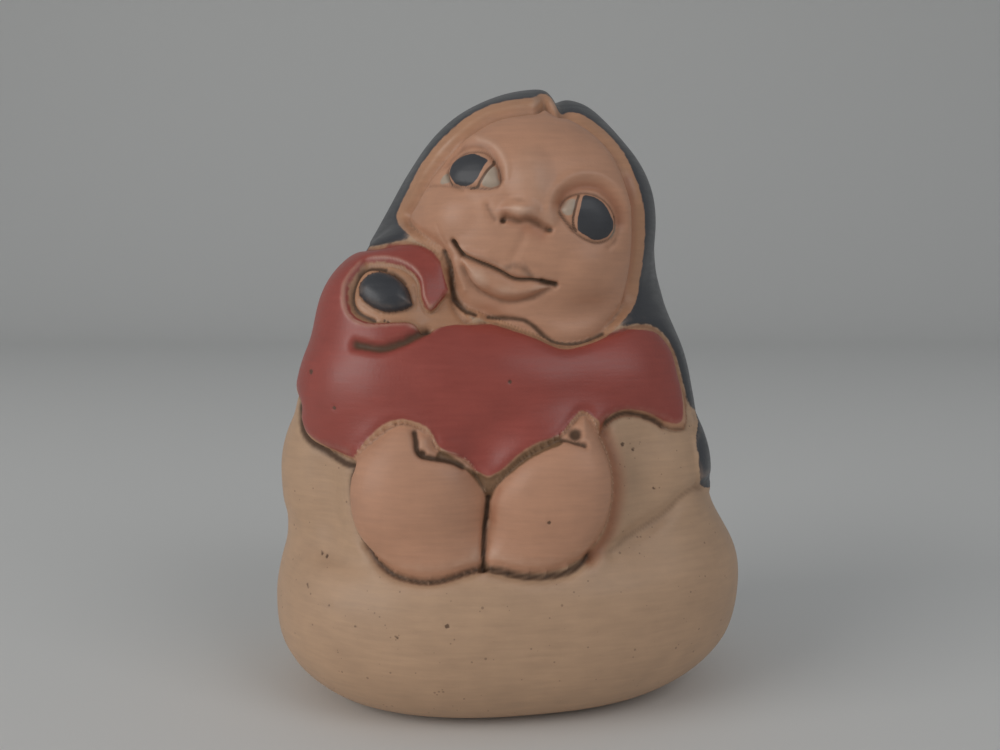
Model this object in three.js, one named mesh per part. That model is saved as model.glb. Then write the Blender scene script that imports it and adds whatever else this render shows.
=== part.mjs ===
// A hand-modelled clay figurine: a seated woman with long hair holds a wrapped baby in her two hands.
// It was built up hollow from one lump of clay, carved, painted with slip and burnished, so it is one piece.
// Millimetres, +Z up, the woman faces -Y. The origin is the middle of the flat underside.

import * as THREE from "three";
import { mergeVertices } from "three/addons/utils/BufferGeometryUtils.js";

// Driving dimensions.
const SEAT_WIDTH = 102;
const SEAT_DEPTH = 84;
const HEAD_WIDTH = 51;
const HEAD_TILT = 17;
const HAND_WIDTH = 32;
const HAIR_HEM = 43;
const HEM_DROP = 3;
const SIDE_SEAM = 6.5;
const BODICE_INSET = 0.5;
const BODICE_FROM = 28;
const BODICE_TO = 36;
const FOOT_EDGE = 12;
const PARTING = { at: 11, drift: 4, step: 1.2, depth: 1.5, width: 6, top: 112, end: 90 };

// How coarse the faceted solid is, and how far its points are drawn to the face, where it is finest.
const FACET_ROWS = 21;
const FINE_SIDE = new THREE.Vector3(0, -0.8, 0.6);
const FINE_DRAW = 2.1;
const EVENING_ROUNDS = 12;
const EVENING_SHARE = 0.6;
const EDGE_SOFTNESS = 2;

// The body is modelled outwards from an upright spine: level from its middle, steeper towards its ends.
const SPINE_MIDDLE = 56;
const SPINE_HALF = 16;
const REACH = 110;
const HALVINGS = 22;

// The lumps of clay, in the order that they are pressed on. Each is a rounded block with its middle, its
// three half sizes, the degrees its top leans to +X, its turn about Z, the degrees its top leans back,
// how square it is (2 is an egg), and how far it is smoothed into what it is pressed on.
const LUMPS = {
  seat: { at: [-0.2, 0, 21], half: [SEAT_WIDTH / 2, SEAT_DEPTH / 2, 26], lean: -2, turn: 8, square: 2.35 },
  rightLap: { at: [31, -3, 29], half: [17.5, 26, 14.5], square: 2.2, blend: 6 },
  torso: { at: [-2.5, 3.5, 56], half: [39.5, 32, 34], square: 2.2, blend: 9 },
  leftSleeve: { at: [-35, -2.5, 47], half: [15, 21, 19], square: 2.2, blend: 9 },
  rightSleeve: { at: [26.5, -7.5, 47], half: [17, 20, 19], square: 2.3, blend: 7 },
  backHair: { at: [2.5, 12.5, 72], half: [32, 24, 45], square: 2, blend: 10 },
  rightHair: { at: [25.5, 6.5, 77], half: [10.5, 19, 49], lean: -13, square: 2, blend: 6 },
  leftHair: { at: [-17.5, 8.5, 91], half: [14, 18, 42], lean: 34, square: 2, blend: 8 },
  leftCrown: { at: [1.5, 2.5, 98.8], half: [21.5, 26, 30.7], lean: HEAD_TILT + 8, square: 2, blend: 8 },
  rightCrown: { at: [10, 4.5, 95.5], half: [18, 25, 28.5], lean: HEAD_TILT - 9, square: 2, blend: 4 },
  face: {
    at: [5, -2.5, 98.5], half: [HEAD_WIDTH / 2, 27, 24.5], lean: HEAD_TILT, back: 4, square: 2.5, blend: 6,
  },
  babySide: { at: [-23, -6.5, 72], half: [18, 23, 24.5], lean: 14, square: 2.1, blend: 7 },
  baby: { at: [-8.5, -13.5, 65], half: [34, 21, 18], square: 2.3, blend: 7 },
  hood: { at: [-24, -11.5, 82.5], half: [14.5, 16, 12.5], square: 2, blend: 6 },
  shoulder: { at: [20.5, -7.5, 67], half: [17, 19, 16], square: 2.1, blend: 8 },
  leftHand: { at: [-17.5, -23.5, 45.5], half: [HAND_WIDTH / 2, 15.5, 16], square: 2.3, blend: 6 },
  rightHand: { at: [9.3, -23.5, 46.5], half: [HAND_WIDTH / 2, 15.5, 16.5], square: 2.3, blend: 6 },
};

// The outlines carved into the front, as [x, z] points of smooth closed curves seen from straight ahead.
const OUTLINES = {
  face: [
    [8, 125.3], [11.5, 123.2], [18.3, 119.6], [23, 114], [26, 106.5], [26.5, 98], [26, 90], [24, 82.7],
    [18.5, 78.5], [11.5, 77], [5, 79], [-3.5, 82], [-8.5, 85], [-10.6, 91], [-13.5, 95.5],
    [-21.5, 100.7], [-19.3, 105], [-14, 113.3], [-7.4, 119], [-0.5, 122.6], [4.2, 123.6],
  ],
  wrap: [
    [-28, 95.6], [-20.2, 96.6], [-14.5, 93.8], [-11, 88.4], [-10.6, 84], [-7.4, 80.8], [-2.3, 80.6],
    [5, 78.4], [11.5, 75.9], [19, 77.7], [26, 79.5], [31, 78.8], [34.8, 74.5], [36.3, 69], [37.7, 63.9],
    [37.4, 58.8], [34, 58.6], [29, 60.7], [21, 61], [12, 52], [-4, 47], [-20, 50], [-30.4, 54.2],
    [-37, 54.6], [-43, 57], [-60, 60], [-62, 80], [-45, 95],
  ],
  opening: [
    [-31.8, 85.4], [-31.5, 89], [-29.2, 92], [-24.3, 93], [-20.5, 91.8], [-17.3, 88], [-14.5, 83.3],
    [-10.8, 85], [-8, 81.6], [-13.2, 79.6], [-17.1, 79.9], [-24, 80.4], [-28.6, 80.6],
  ],
  leftEye: [
    [-12.7, 109.4], [-11.8, 113], [-8, 115], [-3.8, 114.3], [-0.9, 111.8], [-0.8, 108.4], [-3, 106.3],
    [-9, 106.8],
  ],
  rightEye: [
    [9.9, 101.6], [11.2, 105.4], [15.2, 107.2], [19.6, 106.2], [22.6, 102.4], [22.4, 98], [19.4, 95.5],
    [14.6, 96.2],
  ],
  babyHair: [
    [-30, 86.3], [-28.9, 89.2], [-25.3, 90.6], [-21.8, 89.3], [-19.3, 86.9], [-18.5, 84], [-22.5, 82.7],
    [-26.1, 83],
  ],
  dress: [
    [38, 62], [39, 53], [39.8, 47], [44, 42], [62, 40], [62, -12], [-62, -12], [-62, 62], [0, 68],
  ],
  leftHand: [
    [-30.4, 53.8], [-31.9, 47], [-30.5, 40], [-27, 35.8], [-21, 32.6], [-14, 32.1], [-4.8, 34.8],
    [-4.2, 42], [-4.2, 47.5], [-7.6, 54], [-13, 56.4], [-15.3, 59.4], [-20.9, 61.3], [-26.4, 58],
  ],
  rightHand: [
    [-3.8, 47.5], [2.3, 54.6], [9.8, 58.9], [14.2, 62.9], [16.8, 60.8], [20.5, 53], [20.6, 45],
    [18.2, 39.2], [14, 35], [6, 33], [-3.8, 34.8], [-3.9, 42],
  ],
};

// How far each region stands out from the plain clay, and how wide and deep its edge sinks.
// Each one lies over those before it, and what is in none of them is the dress.
const RELIEF = {
  wrap: { out: 0.3, rim: 3, sunk: 0.8 },
  opening: { out: -1.4, rim: 1, sunk: 0 },
  babyHair: { out: 0.5, rim: 3, sunk: 1.2 },
  face: { out: 0, rim: 3, sunk: 0.7 },
  leftEye: { out: 0.6, rim: 3.2, sunk: 1.5 },
  rightEye: { out: 0.6, rim: 3.2, sunk: 1.5 },
  hair: { out: 0.4, rim: 2.5, sunk: 0.7 },
  leftHand: { out: 1, rim: 5, sunk: 1.5 },
  rightHand: { out: 1, rim: 5, sunk: 1.5 },
};
const FACE_LINE = { width: 3, depth: 0.6 };
const HAND_LINE = { width: 3, depth: 1.1 };

// Carved lines, as [x, z] points of open curves, with their width and depth.
const GROOVES = {
  mouth: { along: [[-10.6, 96], [-7, 92.2], [-2, 89.3], [2.6, 88.2], [9.5, 87.8]], width: 2.4, depth: 1.3 },
  nostrils: { along: [[-1.5, 99.6], [3, 99.6], [7.5, 98.2]], width: 2.6, depth: 0.9 },
  underLip: { along: [[-7.5, 84.6], [-2, 82.8], [5, 82.6]], width: 2.2, depth: 0.5 },
  lapRight: { along: [[43, 46.5], [34, 43], [25.3, 38.8], [19.5, 35]], width: 4, depth: 1.1 },
  lapLeft: { along: [[-47, 38.5], [-40, 34.8], [-29, 33.6]], width: 4, depth: 0.5 },
  hoodFold: { along: [[-13.5, 78.9], [-19.3, 76.8], [-24, 75.8], [-30, 76.2]], width: 2.4, depth: 1.3 },
  leftThumb: { along: [[-17.4, 58], [-16.7, 55.7], [-11.3, 54.2], [-6.5, 51]], width: 1.8, depth: 0.9 },
  rightThumb: { along: [[9.5, 56.5], [12.9, 58.6], [13.8, 60.8]], width: 2, depth: 1 },
};

// Soft swellings and hollows: middle [x, z], half sizes, turn in degrees and height.
const SWELLINGS = {
  noseBridge: { at: [4.2, 107], half: [3.2, 8], turn: 8, height: 1.2 },
  noseTip: { at: [3.4, 101.6], half: [6.5, 3.6], turn: -18, height: 2.4 },
  betweenEyes: { at: [-1.5, 106], half: [4, 5], turn: 30, height: -0.8 },
  upperLip: { at: [-1, 91.6], half: [9, 2.6], turn: -18, height: 0.9 },
  lowerLip: { at: [0, 86.6], half: [8.5, 2.8], turn: -14, height: 1.2 },
  leftCheek: { at: [-11, 101.5], half: [6, 5.5], turn: 0, height: 0.8 },
  rightCheek: { at: [17, 89.5], half: [7, 6.5], turn: 0, height: 0.9 },
};

const COLOURS = {
  cream: "#b9966f",
  skin: "#b97e58",
  wrap: "#9c4434",
  hair: "#2c2d31",
  opening: "#a07f60",
};

function smoothStep(low, high, value) {
  const t = Math.min(1, Math.max(0, (value - low) / (high - low)));
  return t * t * (3 - 2 * t);
}

function mix(from, to, share) {
  return from + (to - from) * share;
}

// The greater of two distances, rounded where they are alike.
function smoothUnion(a, b, reach) {
  const h = Math.max(reach - Math.abs(a - b), 0) / reach;
  return Math.max(a, b) + (h * h * reach) / 4;
}

function smoothCut(a, b, reach) {
  return -smoothUnion(-a, -b, reach);
}

// A lump ready for use: the rotation into its own axes and its half sizes.
function shapeLump({ at, half, lean = 0, turn = 0, back = 0, square, blend = 0 }) {
  const [pitch, roll, yaw] = [-back, lean, turn].map(THREE.MathUtils.degToRad);
  const own = new THREE.Matrix4().makeRotationFromEuler(new THREE.Euler(pitch, roll, yaw, "ZYX"));
  return { at, half, square, blend, axes: own.elements };
}

const clay = Object.values(LUMPS).map(shapeLump);

// About how far a point is outside a lump, in millimetres; negative inside.
function lumpDistance({ at, half, square, axes }, point) {
  const x = point.x - at[0];
  const y = point.y - at[1];
  const z = point.z - at[2];
  let sum = 0;
  let steepness = 0;
  for (let i = 0; i < 3; i++) {
    const own = x * axes[4 * i] + y * axes[4 * i + 1] + z * axes[4 * i + 2];
    const share = Math.abs(own) / half[i] + 1e-9;
    const power = share ** (square - 1);
    sum += power * share;
    steepness += (power / half[i]) ** 2;
  }
  const level = sum ** (1 / square);
  return ((level - 1) * level ** (square - 1)) / Math.sqrt(steepness);
}

function bodyDistance(point) {
  let distance = Infinity;
  for (const lump of clay) {
    const own = lumpDistance(lump, point);
    distance = lump.blend ? -smoothUnion(-distance, -own, lump.blend) : own;
  }
  return distance;
}

// The point where a ray from the spine leaves the clay, or meets the ground.
function surfacePoint(direction) {
  let inside = 1;
  let outside = REACH;
  const start = new THREE.Vector3(0, 0, SPINE_MIDDLE + SPINE_HALF * direction.z);
  const point = new THREE.Vector3();
  for (let i = 0; i < HALVINGS; i++) {
    const middle = (inside + outside) / 2;
    point.copy(start).addScaledVector(direction, middle);
    if (bodyDistance(point) > 0) outside = middle;
    else inside = middle;
  }
  const ground = direction.z < 0 ? -start.z / direction.z : Infinity;
  return point.copy(start).addScaledVector(direction, Math.min(inside, ground));
}

// The direction in which a distance grows fastest, and how fast.
function slope(distanceAt, point, step = 0.2) {
  const rises = ["x", "y", "z"].map((axis) => {
    const ahead = point.clone();
    const behind = point.clone();
    ahead[axis] += step;
    behind[axis] -= step;
    return (distanceAt(ahead) - distanceAt(behind)) / (2 * step);
  });
  return new THREE.Vector3(...rises);
}

// Puts a point near the surface back on it, or on the flat foot where that is nearer.
function settle(point) {
  for (let i = 0; i < 2; i++) {
    const distance = bodyDistance(point);
    if (-point.z > distance) {
      point.z = 0;
    } else {
      const rise = slope(bodyDistance, point);
      point.addScaledVector(rise, -distance / rise.lengthSq());
    }
  }
  if (point.z < 0.02) point.z = 0;
  return point;
}

// A closed or open smooth curve through [x, z] points, as short straight steps.
function smoothLine(points, closed, stepsPerPoint = 6) {
  const path = new THREE.CatmullRomCurve3(
    points.map(([x, z]) => new THREE.Vector3(x, 0, z)),
    closed,
    "catmullrom",
    0.5,
  );
  return path.getPoints(points.length * stepsPerPoint).map((p) => [p.x, p.z]);
}

function distanceToLine(line, x, z) {
  let nearest = Infinity;
  for (let i = 1; i < line.length; i++) {
    const [ax, az] = line[i - 1];
    const [bx, bz] = line[i];
    const length = (bx - ax) ** 2 + (bz - az) ** 2 || 1e-12;
    const along = Math.min(1, Math.max(0, ((x - ax) * (bx - ax) + (z - az) * (bz - az)) / length));
    nearest = Math.min(nearest, Math.hypot(x - ax - along * (bx - ax), z - az - along * (bz - az)));
  }
  return nearest;
}

// Positive inside an outline, negative outside.
function distanceInside(line, x, z) {
  let inside = false;
  for (let i = 1; i < line.length; i++) {
    const [ax, az] = line[i - 1];
    const [bx, bz] = line[i];
    if (az > z !== bz > z && x < ((bx - ax) * (z - az)) / (bz - az) + ax) inside = !inside;
  }
  const distance = distanceToLine(line, x, z);
  return inside ? distance : -distance;
}

const outlines = Object.fromEntries(
  Object.entries(OUTLINES).map(([name, points]) => [name, smoothLine(points, true)]),
);
const grooves = Object.values(GROOVES).map((g) => ({ ...g, line: smoothLine(g.along, false) }));

// How deep each painted and carved region reaches inwards at a point of the surface.
function regionsAt({ x, y, z }) {
  const ahead = SIDE_SEAM - y;
  const region = {};
  for (const [name, line] of Object.entries(outlines)) {
    region[name] = Math.min(distanceInside(line, x, z), ahead);
  }
  const bare = smoothUnion(smoothUnion(region.face, region.wrap, 4), region.dress, 2);
  const hem = HAIR_HEM - HEM_DROP * smoothStep(0, 30, y);
  region.hair = smoothCut(-bare, z - hem, 5);
  return region;
}

// A rim that sinks towards an outline from its inside.
function sunkRim(inside, reach, depth) {
  if (inside < 0 || inside > reach) return 0;
  return -depth * (1 - inside / reach) ** 2;
}

function groove(distance, width, depth) {
  return -depth * Math.exp(-((distance / (width / 2)) ** 2));
}

function swelling({ at, half, turn, height }, x, z) {
  const angle = THREE.MathUtils.degToRad(turn);
  const u = (x - at[0]) * Math.cos(angle) + (z - at[1]) * Math.sin(angle);
  const v = (z - at[1]) * Math.cos(angle) - (x - at[0]) * Math.sin(angle);
  const far = (u / half[0]) ** 2 + (v / half[1]) ** 2;
  return far < 1 ? height * (1 - far) ** 2 : 0;
}

// The parting steps down from the left lock of hair to the right one, from the brow to the nape.
function parting(x, y, z) {
  const { at, drift, step, depth, width, top, end } = PARTING;
  const across = x - at + drift * smoothStep(-15, 25, y);
  const left = step * (1 - smoothStep(-width / 2, width / 4, across));
  return smoothStep(end, top, z) * (left + groove(across - 1, width, depth));
}

// How far the surface is raised or cut at a point of the plain body.
function carving(point) {
  const { x, y, z } = point;
  const region = regionsAt(point);
  const cover = (name) => smoothStep(-EDGE_SOFTNESS / 2, EDGE_SOFTNESS / 2, region[name]);
  let height = -BODICE_INSET * smoothStep(BODICE_FROM, BODICE_TO, z);
  for (const [name, { out, rim, sunk }] of Object.entries(RELIEF)) {
    height = mix(height, out + sunkRim(region[name], rim, sunk), cover(name));
  }
  const hands = Math.max(region.leftHand, region.rightHand);
  height += groove(region.face, FACE_LINE.width, FACE_LINE.depth);
  height += groove(hands, HAND_LINE.width, HAND_LINE.depth);
  height += parting(x, y, z) * cover("hair");
  if (y < SIDE_SEAM) {
    for (const { line, width, depth } of grooves) height += groove(distanceToLine(line, x, z), width, depth);
    for (const shape of Object.values(SWELLINGS)) height += swelling(shape, x, z);
  }
  return height * smoothStep(1, FOOT_EDGE, z);
}

// Moves a direction towards the fine side, so that the carved face has the smallest facets.
function drawToFineSide(direction) {
  const angle = direction.angleTo(FINE_SIDE);
  const drawn = 2 * Math.atan(Math.tan(angle / 2) / FINE_DRAW);
  const axis = new THREE.Vector3().crossVectors(direction, FINE_SIDE).normalize();
  return direction.applyAxisAngle(axis, angle - drawn);
}

function neighboursOf(geometry) {
  const neighbours = Array.from({ length: geometry.attributes.position.count }, () => new Set());
  const corners = geometry.index.array;
  for (let i = 0; i < corners.length; i += 3) {
    for (let j = 0; j < 3; j++) {
      const [here, next, last] = [0, 1, 2].map((k) => corners[i + ((j + k) % 3)]);
      neighbours[here].add(next).add(last);
    }
  }
  return neighbours.map((set) => [...set]);
}

// Moves each point towards the middle of its neighbours, along the surface.
function evenOut(points, neighbours) {
  return points.map((point, i) => {
    const middle = new THREE.Vector3();
    for (const j of neighbours[i]) middle.add(points[j]);
    middle.divideScalar(neighbours[i].length);
    return settle(point.clone().lerp(middle, EVENING_SHARE));
  });
}

function paint(point) {
  const region = regionsAt(point);
  if (Math.max(region.leftHand, region.rightHand) > 0) return COLOURS.skin;
  if (region.hair > 0 || region.babyHair > 0) return COLOURS.hair;
  if (region.face > 0) return COLOURS.skin;
  if (region.opening > 0) return COLOURS.opening;
  return region.wrap > 0 ? COLOURS.wrap : COLOURS.cream;
}

function modelFigurine() {
  const ball = new THREE.IcosahedronGeometry(1, FACET_ROWS);
  ball.deleteAttribute("normal");
  ball.deleteAttribute("uv");
  const geometry = mergeVertices(ball);
  const places = geometry.attributes.position;
  const neighbours = neighboursOf(geometry);
  let points = neighbours.map((_, i) => {
    const direction = new THREE.Vector3().fromBufferAttribute(places, i).normalize();
    return surfacePoint(drawToFineSide(direction));
  });
  for (let i = 0; i < EVENING_ROUNDS; i++) points = evenOut(points, neighbours);
  const colours = new THREE.Float32BufferAttribute(places.count * 3, 3);
  points.forEach((point, i) => {
    const up = slope(bodyDistance, point).normalize();
    const finished = point.z === 0 ? point : point.clone().addScaledVector(up, carving(point));
    places.setXYZ(i, ...finished.toArray());
    colours.setXYZ(i, ...new THREE.Color(paint(point)).toArray());
  });
  geometry.setAttribute("color", colours);
  geometry.computeVertexNormals();
  return geometry;
}

const burnishedClay = new THREE.MeshStandardMaterial({ vertexColors: true, roughness: 0.5, metalness: 0 });
const figurine = new THREE.Mesh(modelFigurine(), burnishedClay);
figurine.name = "mother_and_child_figurine";

const part = new THREE.Group();
part.add(figurine);

export default part;
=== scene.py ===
# %% [markdown]
# # A clay mother who holds her wrapped baby
# The real figurine is one lump of clay. Its maker pressed it into shape with the hands, cut the lines with
# a small tool, painted the parts with coloured clay slip, and rubbed it with a smooth stone until it shone.
# This lesson follows the same steps: press the form, carve it, paint it, and then light it.
# Lengths are in millimetres until the mesh is written, because that is how a potter would measure.

# %% Load the solid that the surface has to fit
import math

import bpy
import numpy as np
from mathutils import Euler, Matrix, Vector, noise


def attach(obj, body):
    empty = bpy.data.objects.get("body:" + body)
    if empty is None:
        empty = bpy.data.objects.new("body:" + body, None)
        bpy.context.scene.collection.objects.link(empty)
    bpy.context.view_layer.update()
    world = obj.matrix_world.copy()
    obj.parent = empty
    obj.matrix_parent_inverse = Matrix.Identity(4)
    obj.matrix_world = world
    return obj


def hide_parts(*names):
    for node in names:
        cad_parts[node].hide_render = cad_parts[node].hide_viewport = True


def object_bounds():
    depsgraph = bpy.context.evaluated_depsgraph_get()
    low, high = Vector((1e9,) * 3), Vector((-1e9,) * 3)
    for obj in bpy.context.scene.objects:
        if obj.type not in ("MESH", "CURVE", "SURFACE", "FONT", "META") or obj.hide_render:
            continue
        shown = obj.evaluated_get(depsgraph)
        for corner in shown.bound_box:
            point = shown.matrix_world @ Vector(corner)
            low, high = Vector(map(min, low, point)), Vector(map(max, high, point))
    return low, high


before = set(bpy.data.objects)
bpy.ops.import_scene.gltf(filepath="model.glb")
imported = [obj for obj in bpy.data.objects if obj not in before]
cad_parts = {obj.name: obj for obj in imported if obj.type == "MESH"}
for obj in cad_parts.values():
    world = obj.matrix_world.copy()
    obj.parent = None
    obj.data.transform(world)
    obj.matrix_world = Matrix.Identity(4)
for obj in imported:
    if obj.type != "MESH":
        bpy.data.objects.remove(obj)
cad_low, cad_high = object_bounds()
SOLID = "mother_and_child_figurine"
MM = 0.001
bpy.ops.object.select_all(action="DESELECT")
print("the solid measures", [round(side / MM, 1) for side in cad_high - cad_low], "mm")

# %% [markdown]
# ## The camera
# The photo was taken from close by, a little above the middle of the figurine, with a lens that takes in
# about 51 degrees. The camera comes first, so that every later step can be looked at from the same place.

# %% Set the camera where the photo was taken
PHOTO_WIDTH_PX = 1000
FOCAL_PX = 1050
CAMERA_AT = (-1.5, -234.5, 88)
CAMERA_DOWN = 5

bpy.ops.object.camera_add(
    location=[MM * c for c in CAMERA_AT], rotation=(math.radians(90 - CAMERA_DOWN), 0, 0)
)
camera = bpy.context.object
camera.name = "photo_camera"
camera.data.lens = camera.data.sensor_width * FOCAL_PX / PHOTO_WIDTH_PX
camera.data.clip_start = 0.01
bpy.context.scene.camera = camera
print("the lens is", round(camera.data.lens, 1), "mm")

# %% [markdown]
# ## The lumps of clay
# A hand-modelled form is hard to build from flat faces, because one part runs softly into the next. A potter
# presses lumps together and smooths the joins. Here a lump is a rounded block, and a number tells how far
# each one is smoothed into what it is pressed on. The same lumps give the solid its shape.

# %% Name the lumps
SEAT_WIDTH = 102
SEAT_DEPTH = 84
HEAD_WIDTH = 51
HEAD_TILT = 17
HAND_WIDTH = 32
FOOT_ROUNDING = 3

LUMPS = {
    "seat": dict(at=(-0.2, 0, 21), half=(SEAT_WIDTH / 2, SEAT_DEPTH / 2, 26), lean=-2, turn=8, square=2.35),
    "right_lap": dict(at=(31, -3, 29), half=(17.5, 26, 14.5), square=2.2, blend=6),
    "torso": dict(at=(-2.5, 3.5, 56), half=(39.5, 32, 34), square=2.2, blend=9),
    "left_sleeve": dict(at=(-35, -2.5, 47), half=(15, 21, 19), square=2.2, blend=9),
    "right_sleeve": dict(at=(26.5, -7.5, 47), half=(17, 20, 19), square=2.3, blend=7),
    "back_hair": dict(at=(2.5, 12.5, 72), half=(32, 24, 45), square=2, blend=10),
    "right_hair": dict(at=(25.5, 6.5, 77), half=(10.5, 19, 49), lean=-13, square=2, blend=6),
    "left_hair": dict(at=(-17.5, 8.5, 91), half=(14, 18, 42), lean=34, square=2, blend=8),
    "left_crown": dict(at=(1.5, 2.5, 98.8), half=(21.5, 26, 30.7), lean=HEAD_TILT + 8, square=2, blend=8),
    "right_crown": dict(at=(10, 4.5, 95.5), half=(18, 25, 28.5), lean=HEAD_TILT - 9, square=2, blend=4),
    "face": dict(
        at=(5, -2.5, 98.5), half=(HEAD_WIDTH / 2, 27, 24.5), lean=HEAD_TILT, back=4, square=2.5, blend=6
    ),
    "baby_side": dict(at=(-23, -6.5, 72), half=(18, 23, 24.5), lean=14, square=2.1, blend=7),
    "baby": dict(at=(-8.5, -13.5, 65), half=(34, 21, 18), square=2.3, blend=7),
    "hood": dict(at=(-24, -11.5, 82.5), half=(14.5, 16, 12.5), square=2, blend=6),
    "shoulder": dict(at=(20.5, -7.5, 67), half=(17, 19, 16), square=2.1, blend=8),
    "left_hand": dict(at=(-17.5, -23.5, 45.5), half=(HAND_WIDTH / 2, 15.5, 16), square=2.3, blend=6),
    "right_hand": dict(at=(9.3, -23.5, 46.5), half=(HAND_WIDTH / 2, 15.5, 16.5), square=2.3, blend=6),
}


def shape_lump(at, half, square, lean=0, turn=0, back=0, blend=0):
    turned = Euler([math.radians(angle) for angle in (-back, lean, turn)]).to_matrix()
    return np.array(at), np.array(half), square, blend, np.array(turned)


clay = [shape_lump(**lump) for lump in LUMPS.values()]
print("the form has", len(clay), "lumps")

# %% [markdown]
# ## How far is a point from the clay?
# One function answers that for any number of points at once, and it also gives the way straight out of the
# clay. It takes the lumps in order, keeps the nearer one, and rounds the inner corner where two lumps are
# about equally near. The flat foot comes last. It is a cut at the height of the table, and its rounded edge
# is the same sum with its signs turned.


# %% Measure points against the clay
def press_on(far, way, lump_far, lump_way, blend):
    near = np.maximum(blend - np.abs(far - lump_far), 0) / blend
    share = np.where(lump_far < far, 1 - near / 2, near / 2)[:, None]
    return np.minimum(far, lump_far) - near**2 * blend / 4, way + (lump_way - way) * share


def distance_from_clay(points):
    far, way = None, None
    for at, half, square, blend, axes in clay:
        own = (points - at) @ axes
        share = np.abs(own) / half + 1e-9
        power = share ** (square - 1)
        level = (power * share).sum(1) ** (1 / square)
        steep = np.sqrt(((power / half) ** 2).sum(1))
        lump_far = (level - 1) * level ** (square - 1) / steep
        lump_way = (np.sign(own) * power / half / steep[:, None]) @ axes.T
        if far is None:
            far, way = lump_far, lump_way
        else:
            far, way = press_on(far, way, lump_far, lump_way, blend)
    up = np.tile([0.0, 0.0, 1.0], (len(points), 1))
    far, way = press_on(-far, -way, points[:, 2], up, FOOT_ROUNDING)
    return -far, -way / np.linalg.norm(way, axis=1)[:, None]


# %% [markdown]
# ## From a cube to a skin of clay
# A cube whose faces are cut into rows has points all round and no pole, so it makes a good skin. Each of its
# points is sent outwards from a short upright spine until it leaves the clay. More of them are sent to the
# front, where the face and the hands need the finest mesh.

# %% Cut a cube into rows
COARSE_ROWS = 32
FINER_BY = 4

bpy.ops.mesh.primitive_cube_add(size=2)
figurine = bpy.context.object
figurine.name = "painted_figurine"


def cut_every_edge(cuts):
    bpy.ops.object.mode_set(mode="EDIT")
    bpy.ops.mesh.select_all(action="SELECT")
    bpy.ops.mesh.subdivide(number_cuts=cuts)
    bpy.ops.object.mode_set(mode="OBJECT")


def get_points():
    flat = np.empty(len(figurine.data.vertices) * 3)
    figurine.data.vertices.foreach_get("co", flat)
    return flat.reshape(-1, 3)


def set_points(points):
    figurine.data.vertices.foreach_set("co", points.ravel())
    figurine.data.update()


cut_every_edge(COARSE_ROWS - 1)
print("the cut cube has", len(figurine.data.vertices), "points")

# %% Send the points out to the clay
FINE_SIDE = np.array([0, -0.8, 0.6])
FINE_DRAW = 2.1
SPINE_MIDDLE = 56
SPINE_HALF = 16
REACH = 110
HALVINGS = 22


def spread_directions(cube_points):
    spread = np.tan(cube_points * math.pi / 4)
    spread /= np.linalg.norm(spread, axis=1)[:, None]
    ahead = spread @ FINE_SIDE
    aside = spread - ahead[:, None] * FINE_SIDE
    width = np.linalg.norm(aside, axis=1)
    angle = 2 * np.arctan(np.tan(np.arccos(np.clip(ahead, -1, 1)) / 2) / FINE_DRAW)
    aside *= (np.sin(angle) / np.maximum(width, 1e-9))[:, None]
    return np.cos(angle)[:, None] * FINE_SIDE + aside


def send_out(directions):
    start = np.zeros_like(directions)
    start[:, 2] = SPINE_MIDDLE + SPINE_HALF * directions[:, 2]
    inside = np.ones(len(directions))
    outside = np.full(len(directions), float(REACH))
    for _ in range(HALVINGS):
        middle = (inside + outside) / 2
        far, _ = distance_from_clay(start + directions * middle[:, None])
        inside = np.where(far > 0, inside, middle)
        outside = np.where(far > 0, middle, outside)
    return start + directions * inside[:, None]


form = send_out(spread_directions(get_points()))
print("the highest point is", round(form[:, 2].max(), 1), "mm up")

# %% [markdown]
# ## Even out the skin
# The points end up crowded in some places. Each one is moved towards the middle of its neighbours and put
# back on the clay, a few times over. This is what a potter's rib does to a rough surface. The skin is then
# cut four times finer and evened out again.

# %% Even it out, cut it finer and even it again
EVENING_SHARE = 0.6
COARSE_ROUNDS = 15
FINE_ROUNDS = 4


def settle(points):
    for _ in range(2):
        far, way = distance_from_clay(points)
        points = points - way * far[:, None]
    return points


def neighbour_pairs():
    ends = np.empty(len(figurine.data.edges) * 2, dtype=int)
    figurine.data.edges.foreach_get("vertices", ends)
    ends = ends.reshape(-1, 2)
    return np.concatenate([ends[:, 0], ends[:, 1]]), np.concatenate([ends[:, 1], ends[:, 0]])


def neighbour_mean(values, here, there):
    return np.bincount(here, weights=values[there]) / np.bincount(here)


def even_out(points, rounds):
    here, there = neighbour_pairs()
    for _ in range(rounds):
        middle = np.stack([neighbour_mean(points[:, axis], here, there) for axis in range(3)], axis=1)
        points = settle(points + (middle - points) * EVENING_SHARE)
    return points


def spread_out(values, rounds):
    here, there = neighbour_pairs()
    for _ in range(rounds):
        values = (values + neighbour_mean(values, here, there)) / 2
    return values


set_points(even_out(form, COARSE_ROUNDS))
cut_every_edge(FINER_BY - 1)
form = even_out(settle(get_points()), FINE_ROUNDS)
form[:, 2] = np.maximum(form[:, 2], 0)
_, outwards = distance_from_clay(form)
print("the fine skin has", len(form), "points")

# %% [markdown]
# ## Lines to carve along
# The maker drew with a pointed tool on the front of the clay. Every outline below is a list of places on
# that front, sideways and up, joined by a smooth curve. Two helpers measure how far each point of the skin
# is from such a line, and whether it lies inside a closed one. Points at the back are left alone.

# %% Helpers that measure from a line
FAR = 10
SIDE_SEAM = 6.5
STEPS_PER_POINT = 6

front = np.where(form[:, 1] < SIDE_SEAM + 3)[0]
spots = form[front][:, [0, 2]]


def smooth_step(low, high, value):
    share = np.clip((value - low) / (high - low), 0, 1)
    return share * share * (3 - 2 * share)


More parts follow.
